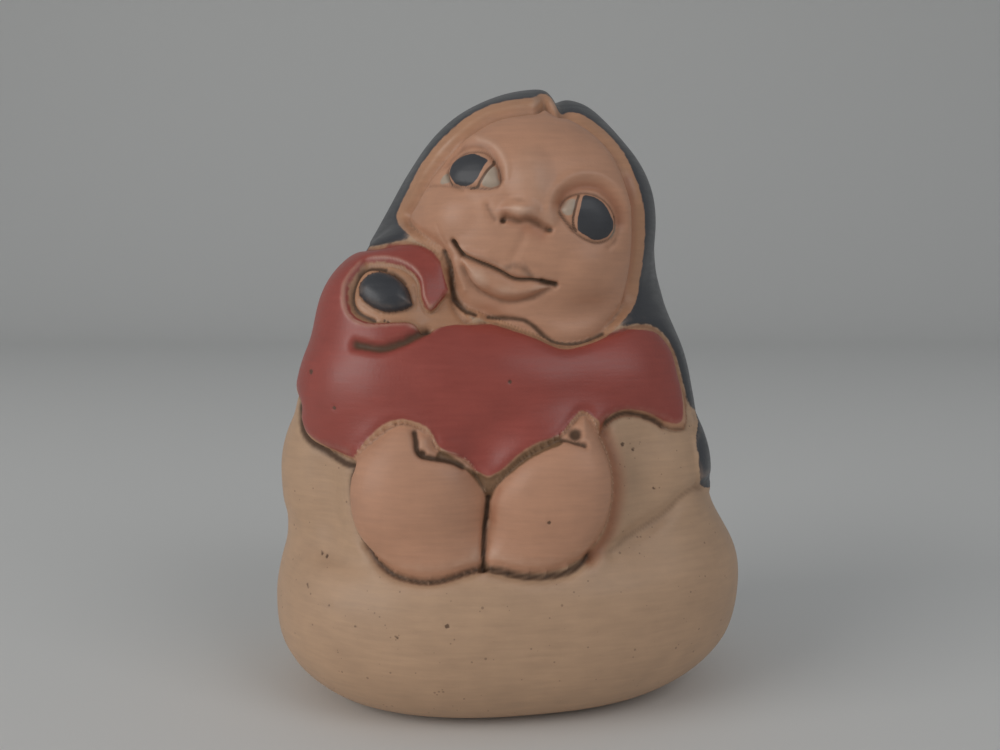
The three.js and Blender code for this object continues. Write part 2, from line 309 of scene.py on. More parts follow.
def smooth_line(points, closed=False):
    points = np.array(points, dtype=float)
    if closed:
        knots = np.concatenate([points[-1:], points, points[:2]])
    else:
        knots = np.concatenate([2 * points[:1] - points[1:2], points, 2 * points[-1:] - points[-2:-1]])
    t = np.linspace(0, 1, STEPS_PER_POINT, endpoint=False)[:, None]
    spans = [
        b + 0.5 * ((c - a) * t + (2 * a - 5 * b + 4 * c - d) * t**2 + (3 * b - a - 3 * c + d) * t**3)
        for a, b, c, d in zip(knots, knots[1:], knots[2:], knots[3:])
    ]
    return np.concatenate(spans + [points[:1] if closed else points[-1:]])


def spots_near(line):
    return np.where(((spots > line.min(0) - FAR) & (spots < line.max(0) + FAR)).all(axis=1))[0]


def distance_to_line(line):
    near = spots_near(line)
    close = spots[near]
    nearest = np.full(len(near), float(FAR**2))
    for start, end in zip(line, line[1:]):
        run = end - start
        along = np.clip((close - start) @ run / (run @ run), 0, 1)
        nearest = np.minimum(nearest, ((close - start - along[:, None] * run) ** 2).sum(1))
    distance = np.full(len(form), float(FAR))
    distance[front[near]] = np.sqrt(nearest)
    return distance


def lies_inside(line):
    near = spots_near(line)
    across, up = spots[near].T
    odd = np.zeros(len(near), dtype=bool)
    for (x0, z0), (x1, z1) in zip(line, line[1:]):
        if z0 != z1:
            odd ^= ((z0 > up) != (z1 > up)) & (across < (x1 - x0) * (up - z0) / (z1 - z0) + x0)
    inside = np.zeros(len(form), dtype=bool)
    inside[front[near[odd]]] = True
    return inside


def region(points):
    line = smooth_line(points, closed=True)
    distance = distance_to_line(line)
    return np.minimum(np.where(lies_inside(line), distance, -distance), SIDE_SEAM - form[:, 1])


# %% Outlines of the parts
OUTLINES = {
    "face": [
        (7.9, 125.5), (10.5, 123.4), (13.1, 123.1), (17.5, 120.3), (21.5, 115.8), (24.2, 109.8), (26.1, 103.7),
        (26.6, 98), (26.2, 89.5), (24.7, 83.6), (18.5, 78.5), (11.5, 77), (5, 79), (-3.5, 82), (-8.5, 84),
        (-11, 88.5), (-13.5, 94.5), (-21.5, 100.9), (-19.6, 105.5), (-14.4, 112.7), (-8, 118.8), (-2.5, 122.2),
        (3.4, 123.6), (5.9, 124),
    ],
    "wrap": [
        (-28, 95.6), (-20.2, 96.6), (-14.5, 93.8), (-11, 88.4), (-10.6, 84), (-7.4, 80.8), (-2.3, 80.6),
        (5, 78.4), (11.5, 75.9), (19, 77.7), (26, 79.5), (31, 78.8), (34.8, 74.5), (36.3, 69), (37.7, 63.9),
        (37.4, 58.8), (34, 58.6), (29, 60.7), (21, 61), (12, 52), (-4, 47), (-20, 50), (-30.4, 53.4),
        (-37, 54.2), (-41.3, 56.2), (-43.4, 60), (-44.5, 64.5), (-60, 68), (-62, 80), (-45, 95),
    ],
    "opening": [
        (-32.1, 84.7), (-32, 88.6), (-29.8, 91.8), (-28, 92.8), (-23.5, 92.6), (-19.8, 91.2), (-17.5, 88.8),
        (-16.7, 85.1), (-14.9, 82.8), (-12, 85.7), (-10.4, 85.3), (-7.6, 82), (-7.4, 80.8), (-13.2, 79.7),
        (-16.3, 78.7), (-19.2, 80.5), (-26.9, 80.4), (-30.6, 81.8),
    ],
    "baby_hair": [
        (-30, 86.6), (-29.2, 89.4), (-26.4, 90.9), (-22.9, 90.3), (-20, 88), (-18.6, 84.7), (-18.7, 83.9),
        (-21.2, 82.9), (-24.7, 82.8), (-28, 84.3),
    ],
    "dress": [
        (37.7, 62), (38.6, 55.9), (39.3, 49.9), (40.7, 46), (46, 42), (62, 40), (62, -12), (-62, -12),
        (-62, 66), (0, 68),
    ],
    "left_hand": [
        (-30.4, 53.8), (-31.9, 47), (-30.5, 40), (-27, 35.8), (-21, 32.6), (-14, 32.1), (-4.8, 34.8),
        (-4.2, 42), (-4.2, 47.5), (-7.6, 54), (-13, 56.4), (-15.3, 59.4), (-20.9, 61.3), (-26.4, 58),
    ],
    "right_hand": [
        (-3.8, 47.5), (2.3, 54.6), (9.8, 58.9), (14.4, 62.9), (17, 60.8), (20.5, 53), (20.6, 45),
        (18.2, 39.2), (14, 35), (6, 33), (-3.8, 34.8), (-3.9, 42),
    ],
}
regions = {name: region(points) for name, points in OUTLINES.items()}
print("outlines:", ", ".join(regions))

# %% [markdown]
# ## Hair is what is left
# The long hair has no outline of its own. It is everything above its hem that is not face, cloth or dress.


# %% Find the hair
HAIR_HEM = 43
HEM_DROP = 3


def smooth_union(a, b, reach):
    near = np.maximum(reach - np.abs(a - b), 0) / reach
    return np.maximum(a, b) + near * near * reach / 4


def find_hair():
    bare = smooth_union(smooth_union(regions["face"], regions["wrap"], 4), regions["dress"], 2)
    hem = HAIR_HEM - HEM_DROP * smooth_step(0, 30, form[:, 1])
    return -smooth_union(bare, hem - form[:, 2], 5)


regions["hair"] = find_hair()
regions["hands"] = np.maximum(regions["left_hand"], regions["right_hand"])
print("hair covers", int((regions["hair"] > 0).mean() * 100), "% of the points")

# %% [markdown]
# ## Step the parts up and down
# Each part stands a little out from the one below it, and its rim sinks towards the cut line. The maker
# scraped clay away along the lines, so the parts look as if they lie on each other, though they are one.

# %% Raise and sink the parts
EDGE = 0.8
BODICE_INSET = 0.5
PARTS = {
    "wrap": dict(out=0.3, rim=3, sunk=0.8),
    "opening": dict(out=-1.3, rim=1, sunk=0),
    "baby_hair": dict(out=0.5, rim=3, sunk=1.2),
    "face": dict(out=0, rim=3, sunk=0.7),
    "hair": dict(out=0.4, rim=2.5, sunk=0.3),
    "left_hand": dict(out=1, rim=5, sunk=1.5),
    "right_hand": dict(out=1, rim=5, sunk=1.5),
}


def cover(name):
    return smooth_step(-EDGE / 2, EDGE / 2, regions[name])


def sunk_rim(inside, reach, depth):
    return np.where(inside > 0, -depth * np.clip(1 - inside / reach, 0, 1) ** 2, 0)


rise = -BODICE_INSET * smooth_step(28, 36, form[:, 2])
for name, part in PARTS.items():
    top = part["out"] + sunk_rim(regions[name], part["rim"], part["sunk"])
    rise += (top - rise) * cover(name)
skin = {"rise": rise}
print("the parts stand", rise.min().round(1), "to", rise.max().round(1), "mm from the plain clay")

# %% [markdown]
# ## A stroke of the tool
# A loop tool takes out a line, and a thumb pushed along its sides raises a ridge. Both are a smooth bump
# across a curve, one with its sign turned. Brown slip stayed in some of the cuts and rust-coloured clay shows in
# others, and the same brown and rust are also laid as painted shade into folds, creases, the underside of the
# nose, the upper lip and the hollow under the brow. Some ridges are pale from rubbing, and the pale tint also
# paints highlights on the brow, the nose and the lower lip. So a mark can also say how much of each colour it leaves.


# %% Helpers that cut strokes and press swellings
# brown and rust carry real slip and painted shade; pale carries rubbed clay and painted highlight
TINTS = ("brown", "rust", "pale")

for tint in TINTS:
    skin[tint] = np.zeros(len(form))


def bump_across(distance, width):
    return np.exp(-((distance / (width / 2)) ** 2))


def tint_skin(share, tints):
    for tint, amount in tints.items():
        skin[tint] = np.maximum(skin[tint], amount * share)


def stroke(distance, width, rise=0.0, tint_width=None, where=1.0, **tints):
    skin["rise"] += rise * bump_across(distance, width) * where
    tint_skin(bump_across(distance, tint_width or width) * where, tints)


def stroke_along(points, **how):
    stroke(distance_to_line(smooth_line(points)), **how)


def swell(at, half, rise=0.0, turn=0, **tints):
    angle = math.radians(turn)
    across, up = form[:, 0] - at[0], form[:, 2] - at[1]
    own_across = (across * math.cos(angle) + up * math.sin(angle)) / half[0]
    own_up = (up * math.cos(angle) - across * math.sin(angle)) / half[1]
    share = np.clip(1 - own_across**2 - own_up**2, 0, 1) ** 2 * (form[:, 1] < SIDE_SEAM)
    skin["rise"] += rise * share
    tint_skin(share, tints)


def pillow(name, points, rise, reach):
    regions[name] = region(points)
    skin["rise"] += rise * (1 - np.clip(1 - regions[name] / reach, 0, 1) ** 2) * (regions[name] > 0)


# %% [markdown]
# ## Round the parts
# The first cuts go round the parts: a groove at the hairline, one round each hand, and one round the cloth.

# %% Cut round the parts
off_hands = 1 - cover("hands")
stroke(np.abs(regions["face"]), width=2, rise=-0.7)
stroke(np.abs(regions["wrap"]), width=1.4, rise=-0.4, brown=0.35, tint_width=1.2, where=off_hands)
stroke(np.abs(regions["opening"]), width=1, rise=-0.3, brown=0.25)
stroke(np.abs(regions["baby_hair"]), width=0.9, rise=-0.3, brown=0.5)
stroke(np.abs(regions["hands"]), width=2.4, rise=-0.5)

# %% [markdown]
# ## The eyes
# Each eye is a low dome in a hollow. A curved band above it is the lid, pressed in with the side of the
# tool, and the brow swells over the band. A thin cut parts the black of the eye from its white.

# %% Model the eyes
swell((-7, 110.4), (9.5, 7.5), -0.6)
swell((16.5, 101), (9.5, 9.5), -0.7)
pillow(
    "left_ball",
    [(-12.3, 109.7), (-11.4, 112.4), (-8.2, 114), (-5, 113.9), (-2.9, 112.4), (-1.8, 110), (-1.5, 107.3),
     (-3.2, 106.4), (-8.2, 106.9), (-11.2, 107.6)],
    rise=0.9, reach=3.5,
)
pillow(
    "right_ball",
    [(10.2, 101.8), (10.9, 103.9), (12.8, 105.2), (16, 105.6), (19, 104.4), (21.2, 101.8), (21.6, 99.2),
     (20.4, 96.8), (17.6, 95.8), (14.6, 96.9), (12.3, 98.8)],
    rise=1.1, reach=4,
)
regions["balls"] = np.maximum(regions["left_ball"], regions["right_ball"])
stroke(np.abs(regions["balls"]), width=0.8, rise=-0.3, brown=0.5)
# The hollow under the left brow is tinted brown and rust: painted shade.
stroke_along(
    [(-12.6, 112), (-9.9, 114.8), (-7.5, 115.5), (-5.1, 115.1), (-3.3, 113.7), (-1.9, 110.8), (-1.3, 108.4)],
    width=1.7, rise=-0.5, brown=0.3, rust=0.3,
)
# The ridge above the left lid is tinted pale: partly rubbed clay, partly a painted highlight.
stroke_along([(-5.8, 116.6), (-3.2, 115.4), (-1.4, 113.4), (-0.3, 111), (-0.3, 108.6)], width=1.4, rise=0.3, pale=0.4)
stroke_along([(-13.4, 114), (-10.4, 116.4), (-6.8, 117.2)], width=1.8, rise=0.25)
# The hollow under the right brow is painted rust and brown: painted shade.
stroke_along(
    [(10.2, 103.6), (11.2, 105.4), (13.5, 106.7), (15.7, 107.1), (18.1, 106.8), (19.9, 105.6), (21.4, 103.9),
     (22.2, 102.2), (22.6, 100)],
    width=2.2, rise=-0.7, rust=0.85, brown=0.2,
)
stroke_along(
    [(8, 102.6), (9.3, 106), (12, 108.6), (15.8, 109.6), (19.4, 108.8), (22.3, 106.4), (24, 103)],
    width=2, rise=0.35,
)
stroke_along([(10.1, 101.7), (10.9, 100.6), (11.9, 99.6), (12.9, 98.4)], width=1, rise=-0.3, brown=0.5)
stroke_along([(-16.2, 107.8), (-13.5, 107.5), (-11, 107.1), (-9, 106.3)], width=1, rise=-0.35, brown=0.35)
stroke_along([(22.3, 98.6), (21.6, 96.4), (20, 94.9)], width=1.2, rise=-0.3, brown=0.3)

# %% [markdown]
# ## The nose
# The nose is a broad soft ridge that ends in a round tip with a wing on each side. Its underside is cut
# back, and two small pits are the nostrils.

# %% Model the nose
# The pale tints on the bridge, the tip and the right wing are painted highlights.
swell((4.6, 107.5), (5.5, 9), 1.1, turn=8, pale=0.35)
swell((3, 101.8), (5, 3.2), 1.7, turn=-18)
swell((2.4, 101.6), (3, 1.8), 0.4, turn=-15, pale=0.7)
swell((8, 100.6), (2.4, 2.6), 0.6, pale=0.3)
swell((-0.6, 102), (2, 1.7), 0.5, rust=0.4)
swell((2.2, 103.9), (3.4, 1.3), -0.3, turn=-15, brown=0.3)
# The rust and brown under the nose and in the nostrils are painted shade.
stroke_along(
    [(-0.4, 100.8), (0.8, 100.4), (2.2, 100), (3.7, 100.2), (4.9, 99.9), (6.2, 99.2), (7.4, 98.6)],
    width=1.8, rise=-0.9, rust=0.5, brown=0.45,
)
stroke_along([(3.6, 98.6), (5.4, 98), (6.6, 97.4)], width=2.6, rise=-0.3, rust=0.55)
swell((-1, 100.1), (1.1, 1), -0.7, brown=0.9)
swell((8.2, 98.3), (1.2, 1), -0.7, brown=0.8)
stroke_along([(-4, 103.1), (-3.4, 101.6), (-2.5, 100.4)], width=1.4, rise=-0.35, brown=0.4)
stroke_along([(3.3, 97.4), (2.4, 95.4), (1.4, 93.6)], width=2, rise=-0.25)

# %% [markdown]
# ## The mouth
# Two pads of clay are the lips. The upper one has a bow in its middle, the lower one is fuller, and the line
# between them ends in a small dark pit at each corner.

# %% Model the mouth
pillow(
    "upper_lip",
    [(-10.1, 95.6), (-7, 94.6), (-3.8, 94.2), (-2.3, 93.1), (-0.9, 92.2), (0.4, 92), (1.8, 92.5), (3.2, 92.1),
     (4.1, 90.9), (5.3, 89.8), (9.1, 88.1), (6.1, 88.5), (1.4, 88.9), (-1.7, 90.5), (-4.2, 91.6), (-7.6, 93)],
    rise=0.6, reach=1.4,
)
pillow(
    "lower_lip",
    [(-9.2, 93), (-7.6, 92.6), (-4.2, 91.2), (-1.7, 90), (1.4, 88.5), (4.6, 88.5), (9.2, 87.3), (6.5, 86.4),
     (4.6, 85.3), (2.4, 84.6), (0.1, 84.5), (-2.3, 85), (-5.7, 86.7), (-8, 89.3)],
    rise=1.1, reach=2.6,
)
stroke_along(
    [(-10.7, 96), (-9.2, 93.7), (-7.6, 92.9), (-4.2, 91.5), (-1.7, 90.4), (1.4, 88.8), (4.6, 88.7), (6.1, 88.4),
     (9.5, 87.6)],
    width=0.9, rise=-0.8, brown=0.75,
)
stroke_along([(-10.9, 96.3), (-10, 94.9), (-9, 93.6)], width=1, rise=-0.6, brown=1)
stroke_along([(6.6, 88.3), (8, 87.9), (9.4, 87.6)], width=1.3, rise=-0.5, brown=0.9)
stroke_along([(-8.8, 91), (-7, 87.8), (-4.1, 85.6), (0.1, 84.2), (4.6, 85), (8.5, 87)], width=1.5, rise=-0.4, brown=0.4)
stroke_along([(-10.4, 92.4), (-9.6, 89.6), (-8.6, 86.8)], width=1.5, rise=0.35, pale=0.2)
# The upper lip is tinted brown and rust along its length: painted shade on its downward face.
stroke_along([(-0.5, 90.9), (1.4, 91.5), (3.2, 90.8), (4.6, 89.6)], width=2, brown=0.4)
stroke_along([(-8.4, 94.2), (-5, 93.2), (-2, 91.9)], width=1.2, brown=0.25, rust=0.3)
# The pale spots on the lower lip are painted highlights.
swell((-5.6, 89.2), (3.2, 2.2), 0.2, turn=-40, pale=1)
swell((-0.5, 86.9), (4, 1.6), 0.1, pale=0.5)
swell((-3, 83.2), (5, 2), 0, rust=0.4)

# %% [markdown]
# ## Cheeks and jaw
# The cheeks are thumbed out a little, and the jaw is cut free from the cloth with a line that stayed dark.

# %% Model the cheeks and the jaw
swell((-12, 101.5), (6.5, 5.5), 0.8)
swell((17, 89.5), (7.5, 7), 0.9)
swell((6, 115), (13, 8), 0.4)
stroke_along([(-13.6, 99.2), (-13, 97), (-12.2, 95.6)], width=0.8, rise=-0.15, brown=0.15)
stroke_along(
    [(-13.4, 94.2), (-12, 91), (-11, 87), (-10, 84.9), (-8.4, 83.1), (-6.4, 82.1)],
    width=1.2, rise=-0.4, brown=0.75,
)
stroke_along(
    [(-3.9, 81.9), (1.5, 81.3), (4.4, 80.4), (7.4, 78.4), (9.5, 77.2), (12.3, 76.7), (15.4, 77.1), (19.5, 78.6)],
    width=0.9, rise=-0.3, brown=0.7,
)
stroke_along(
    [(24.6, 109.4), (25.6, 104.6), (25.9, 99.6), (25.8, 94.7), (25.4, 89.7), (24.4, 84.6)],
    width=1.3, rise=-0.2, rust=0.8,
)

# %% [markdown]
# ## The baby in its hood
# A groove runs inside the ring of bare clay, and a deep fold in the cloth lies below it.

# %% Model the hood
stroke_along(
    [(-24.6, 91.7), (-27.8, 92), (-29.7, 91.2), (-30.9, 89.3), (-31.5, 86.6), (-31.2, 84), (-29.6, 82.2),
     (-26.5, 80.9)],
    width=1, rise=-0.4, brown=0.85,
)
# Brown between the baby's hair and the ring at its upper right: painted shade.
stroke_along([(-24.2, 91.1), (-22.8, 90.8), (-21.5, 89.9), (-20.2, 88.6)], width=1.2, rise=-0.3, brown=0.6)
stroke_along([(-18.3, 88), (-17.8, 86.3), (-17.8, 84.6)], width=0.5, rise=-0.15, brown=0.3)
# The fold below the hood is tinted brown: painted shade in the crease.
stroke_along(
    [(-15.6, 79), (-18, 77.8), (-19.9, 76.8), (-21.8, 76.1), (-24, 75.5), (-26, 75.5), (-29.6, 76)],
    width=2.2, rise=-1.2, brown=0.75, tint_width=2,
)

# %% [markdown]
# ## The hands
# The hands are two round pads. A broad rust-coloured groove lies beside the right one and a thin dark one
# beside the left one. A crease parts each thumb from its palm, and the band of bare clay between hands and cloth
# is painted olive, darker than the bare clay elsewhere: painted shade in the gap.

# %% Model the hands
stroke_along(
    [(-31.1, 52.6), (-32, 49.6), (-32, 45.7), (-31.2, 41.9), (-29.8, 38.9), (-28.3, 36.8)],
    width=1.2, rise=-0.9, brown=0.9, tint_width=0.8,
)
stroke_along(
    [(-28.3, 36.8), (-25.6, 34.3), (-22.5, 32.6), (-19.6, 31.9), (-15.7, 31.6), (-11.9, 32.2), (-8.2, 33.4),
     (-4.6, 34.4)],
    width=1.5, rise=-0.9, brown=0.75, rust=0.5, tint_width=1.2,
)
stroke_along(
    [(-4.6, 34.4), (-1.5, 33.8), (2.3, 32.8), (6.1, 32.4), (9.9, 32.6), (12.8, 33.4), (16.2, 35.4)],
    width=1.8, rise=-1, brown=0.85, tint_width=1.3,
)
stroke_along(
    [(19.2, 60.2), (20.3, 57.6), (21.4, 54.8), (22, 51.9), (22.3, 49), (22.2, 46.2), (21.5, 42.7), (20.4, 39.5),
     (18.6, 37.1), (16.2, 35.2)],
    width=2.4, rise=-1.1, rust=1, brown=0.25, tint_width=2.6,
)
stroke_along([(-4, 47), (-4.2, 43.6), (-4.5, 40.7), (-4.7, 37.3), (-4.6, 34.6)], width=1.2, rise=-1, brown=0.9, tint_width=0.9)
stroke_along([(-1.6, 48.6), (-2.2, 46.2), (-2.7, 42.7)], width=1.6, rust=0.5)
stroke_along(
    [(-18, 59.4), (-17.6, 57.9), (-17.3, 56.1), (-16.3, 55.1), (-14.8, 54.8), (-12.5, 54.5), (-10.5, 54),
     (-8.6, 53)],
    width=1.3, rise=-0.8, brown=0.9,
)
swell((-16.4, 55.6), (1.4, 1.1), -0.6, brown=1)
swell((-15.3, 58.6), (2, 2.4), 0.4)
stroke_along([(10.4, 58.3), (11.4, 58), (12.6, 57.5), (14.6, 56.8)], width=1.1, rise=-0.7, brown=0.7)
swell((12.9, 59), (1.9, 2), -0.8, turn=40, brown=1)
# The band between hands and cloth is painted olive, darker than the bare clay elsewhere: painted shade in the gap.
pillow(
    "palm_gap",
    [(-12.8, 56.3), (-10.1, 54.9), (-7.3, 52.7), (-5.3, 51.6), (-3.8, 50.9), (-2.5, 51.4), (-0.9, 52.5), (1, 54.3),
     (3.3, 56.2), (6.1, 57.7), (9.9, 58.9), (10.3, 57.3), (7.1, 56.2), (3.8, 54.5), (1.2, 52.5), (-1.1, 50.5),
     (-2.6, 48.5), (-3.8, 46), (-4.8, 48.2), (-6.3, 50.6), (-8.4, 52.6), (-10.7, 53.8), (-13.7, 54.7)],
    rise=-0.5, reach=0.8,
)

# %% [markdown]
# ## Sleeves and lap
# The sleeves end in a groove under the cloth, pricked with the tip of the tool at the right. Two soft
# creases part them from the lap.

# %% Model the sleeves and the lap
stroke_along(
    [(-43.6, 62.9), (-43.6, 60.2), (-43, 57.8), (-41.5, 56), (-39.8, 55), (-37.7, 54.1), (-35.2, 52.9), (-33, 52.4),
     (-30.8, 52.4)],
    width=2, rise=-0.5, brown=0.85, tint_width=1.7,
)
stroke_along(
    [(19.7, 61.1), (22.2, 62.2), (23.9, 62.3), (25.5, 62), (27.5, 61.4), (29.6, 60.6), (31.6, 59.5)],
    width=1.4, rise=-0.4, brown=0.75, rust=0.5,
)
stroke_along([(31.6, 59.3), (33.3, 58.7), (35.6, 58.5), (37.2, 58.8)], width=1.2, rise=-0.3, brown=0.5)
# The crease between the right sleeve and the lap is tinted brown: painted shade in the valley.
stroke_along(
    [(42, 46.2), (38.3, 45.9), (35.4, 44.6), (33.5, 43.1), (30.5, 41.3), (27.3, 39.6), (24, 38), (20.8, 36.2)],
    width=3, rise=-1, brown=0.3, tint_width=1.8,
)
stroke_along([(-47, 38.5), (-40.5, 34.5), (-34.4, 33.8), (-28.3, 34)], width=4, rise=-0.5)

# %% [markdown]
# ## Where the slips end
# The painter did not fill the carved parts to their edges, so the painted areas have outlines of their own.

# %% Outlines of the painted areas
PAINTED_AREAS = {
    "red": [
        (-28, 95.4), (-24, 96.2), (-20.2, 96.3), (-16.8, 95.4), (-14.5, 93.4), (-12.8, 90.8), (-11.9, 88.2),
        (-11.9, 86.2), (-14.6, 82.2), (-15, 80.4), (-9.4, 79.8), (-5, 80.4), (-2.3, 80.4), (1, 79.5), (5, 78),
        (8.5, 76.1), (11.5, 75.2), (15.5, 76.1), (18.5, 77.6), (23.6, 79.1), (27.1, 78.6), (30.6, 77.9),
        (32.6, 76.4), (34.1, 74), (35.2, 70.5), (36, 66.9), (36.1, 63.9), (35.9, 60.9), (35.1, 59.7),
        (32.4, 60.1), (29.8, 61.4), (27.5, 62.4), (24.3, 63.1), (21.6, 62.8), (19.7, 61.8), (18.9, 60),
        (17.6, 61.5), (14.6, 63.3), (12.6, 61.9), (10, 59), (6.1, 57.8), (3.3, 56.3), (1, 54.4), (-0.9, 52.6),
        (-2.5, 51.6), (-3.8, 51.1), (-5.3, 51.7), (-7.3, 52.8), (-10.1, 55), (-12.8, 56.6), (-13.9, 58.2),
        (-15.3, 60.3), (-17.8, 61.5), (-21, 61.9), (-23.9, 60.9), (-27.1, 58.2), (-29.4, 55.4), (-30.6, 54.2),
        (-32, 54.1), (-34.5, 54.5), (-36.5, 55.3), (-38.3, 56.2), (-40.1, 57.2), (-41.9, 58.8), (-42.6, 64.2),
        (-46, 68), (-60, 70), (-62, 80), (-45, 95),
    ],
    "left_pupil": [
        (-11.6, 110.1), (-10.9, 112.1), (-9.5, 113.2), (-7.4, 113.7), (-5.6, 113.1), (-4, 112), (-4.4, 111),
        (-5.2, 109.6), (-6, 108.3), (-7.4, 107.3), (-9, 107.1), (-10.4, 107.7), (-11.2, 108.8),
    ],
    "right_pupil": [
        (14.7, 104.9), (16, 105), (17.4, 104.6), (18.9, 103.6), (20.3, 101.1), (20.9, 100), (20.8, 98.6),
        (19.9, 97.4), (18.7, 96.7), (17.5, 96.4), (16.1, 96.8), (14.7, 97.5), (13.7, 98.5), (13.5, 100.2),
        (13.8, 101.8),
    ],
    "left_white": [(-2.7, 110.8), (-2.1, 110), (-1.9, 108.4), (-1.7, 107.2), (-3.1, 106.6), (-5, 107.2), (-4.2, 109.2)],
    "right_white": [(10.7, 103.5), (11.9, 104.2), (13.1, 104.1), (12.8, 102.3), (12.3, 101.2), (11.3, 101.2), (10.5, 102.1)],
    "left_corner": [(-13.7, 108), (-12.4, 110), (-11.8, 108.2)],
    "right_corner": [(21.9, 99.6), (21.4, 97.8), (20.2, 96.4), (20.6, 97.6), (21.2, 98.8)],
}
regions.update({name: region(points) for name, points in PAINTED_AREAS.items()})


def farthest_inside(*names):
    return np.max([regions[name] for name in names], axis=0)


regions["pupils"] = farthest_inside("left_pupil", "right_pupil")
regions["whites"] = farthest_inside("left_white", "right_white", "left_corner", "right_corner")
print("painted areas:", ", ".join(PAINTED_AREAS))

# %% [markdown]
# ## Cracks and pits
# Thin cuts beside the pupils and small pits in the skin are finer than the mesh. Each point stores how far
# it is from them, so that the paint can draw them sharp.

# %% Find the cracks and the pits
CRACKS = [
    ([(-2.9, 112.2), (-2.9, 111.2), (-3.8, 110), (-4.6, 108.8), (-5.4, 107.7), (-6, 106.9), (-7.4, 106.6)], 0.26),
    ([(-12, 110.3), (-11.8, 109), (-11.4, 107.6)], 0.18),
    ([(14, 105.2), (13.3, 103.5), (12.9, 101.8), (12.7, 100.4), (12.9, 99.1), (13.5, 98.1)], 0.24),
    ([(21.6, 101.2), (21.5, 99.6)], 0.2),
]
PITS = [
    ((-11.4, 23.9), 0.5), ((-21, 21.4), 0.45), ((-29.1, 22.5), 0.4), ((-34.9, 25.3), 0.35), ((-39.8, 27.9), 0.45),
    ((-38.1, 34), 0.4), ((-36.9, 33.7), 0.35), ((23.1, 56.5), 0.4), ((25.3, 55.2), 0.35), ((29.5, 47.2), 0.35),
    ((30.3, 52.9), 0.2), ((35.4, 51), 0.2), ((-39.3, 70.2), 0.5), ((0.4, 69.1), 0.35), ((-33.9, 63.6), 0.4),
    ((7.8, 43.1), 0.35), ((-24.3, 81), 0.3), ((-23.5, 80.7), 0.3),
]
PIT_DEPTH = 0.25

regions["cracks"] = np.max([half - distance_to_line(smooth_line(line)) for line, half in CRACKS], axis=0)
across_up = form[:, [0, 2]]
at_front = form[:, 1] < SIDE_SEAM
pit_distance = [radius - np.linalg.norm(across_up - at, axis=1) for at, radius in PITS]
regions["pits"] = np.where(at_front, np.max(pit_distance, axis=0), -FAR)
skin["rise"] -= PIT_DEPTH * smooth_step(-0.2, 0.3, regions["pits"])
skin["rise"] -= PIT_DEPTH * smooth_step(-0.15, 0.2, regions["cracks"])
print(len(CRACKS), "cracks and", len(PITS), "pits")

# %% [markdown]
# ## The parting
# The hair is parted off centre. The right side lies a little lower than the left, and a furrow between them
# fades out over the back of the head.

# %% Cut the parting
PARTING = dict(at=11, drift=4, step=1.2, depth=1.5, width=4, top=112, end=90)


def parting(at, drift, step, depth, width, top, end):
    across = form[:, 0] - at + drift * smooth_step(-15, 25, form[:, 1])
    left = step * (1 - smooth_step(-width / 2, width / 4, across))
    return smooth_step(end, top, form[:, 2]) * (left - depth * bump_across(across - 1, width))


skin["rise"] += parting(**PARTING) * cover("hair")

# %% [markdown]
# ## The unevenness of a hand
# No hand-made surface is true. A slow noise lifts and sinks the skin by about a tenth of a millimetre.

# %% Write the carved skin to the mesh
HAND_WAVE = 0.12
HAND_WAVE_LENGTH = 8
FOOT_EDGE = 12
RELIEF_ROUNDS = 14

wave = np.array([noise.noise(Vector(point)) for point in form / HAND_WAVE_LENGTH])
# How far each point stands above or below its neighbours. The paint lightens the ridges with it as a painted highlight
# and darkens the hollows as painted shade.
skin["relief"] = skin["rise"] - spread_out(skin["rise"], RELIEF_ROUNDS)
height = (skin["rise"] + HAND_WAVE * wave) * smooth_step(1, FOOT_EDGE, form[:, 2])
carved = (form + outwards * height[:, None]) * MM
set_points(np.clip(carved, np.array(cad_low), np.array(cad_high)))
bpy.ops.object.select_all(action="DESELECT")
figurine.select_set(True)
bpy.context.view_layer.objects.active = figurine
bpy.ops.object.mode_set(mode="EDIT")
bpy.ops.mesh.select_all(action="SELECT")
bpy.ops.mesh.normals_make_consistent(inside=False)
bpy.ops.object.mode_set(mode="OBJECT")
bpy.ops.object.shade_smooth()
print("the finished skin measures", [round(side / MM, 1) for side in figurine.dimensions], "mm")

# %% [markdown]
# ## Give the painter something to follow
# The coloured slips follow the carved outlines. So every point of the mesh stores how deep it lies inside
# each part, and the paint reads these numbers. The finest edges then stay sharp, wherever the mesh is coarse.

# %% Store the distances on the points
PAINTED = ("face", "wrap", "opening", "baby_hair", "hair", "hands", "red", "pupils", "whites", "palm_gap", "cracks",
           "pits")


def store(name, values):
    attribute = figurine.data.attributes.new(name, "FLOAT", "POINT")
    attribute.data.foreach_set("value", values.astype(np.float32))


for name in PAINTED:
    store(name, regions[name])
for name in (*TINTS, "relief"):
    store(name, skin[name])
print("each point stores", len(figurine.data.attributes), "attributes")

# %% [markdown]
# ## Sums in the shader
# A material is a net of nodes. Written out, each sum would take several lines, so a small class lets plain
# Python signs add the Math nodes. Every other kind of node comes from one method.


# %% A helper for shader sums
class Wire:
    """An output socket. Arithmetic on it adds Math nodes to the same material."""

    def __init__(self, shader, socket):
        self.shader = shader
        self.socket = socket

    def math(self, operation, first, second):
        return self.shader.node("ShaderNodeMath", {"operation": operation}, {0: first, 1: second})

    def __add__(self, other):
        return self.math("ADD", self, other)

    def __radd__(self, other):
        return self.math("ADD", other, self)

    def __sub__(self, other):
        return self.math("SUBTRACT", self, other)

    def __rsub__(self, other):
        return self.math("SUBTRACT", other, self)

    def __mul__(self, other):
        return self.math("MULTIPLY", self, other)

    def __rmul__(self, other):
        return self.math("MULTIPLY", other, self)


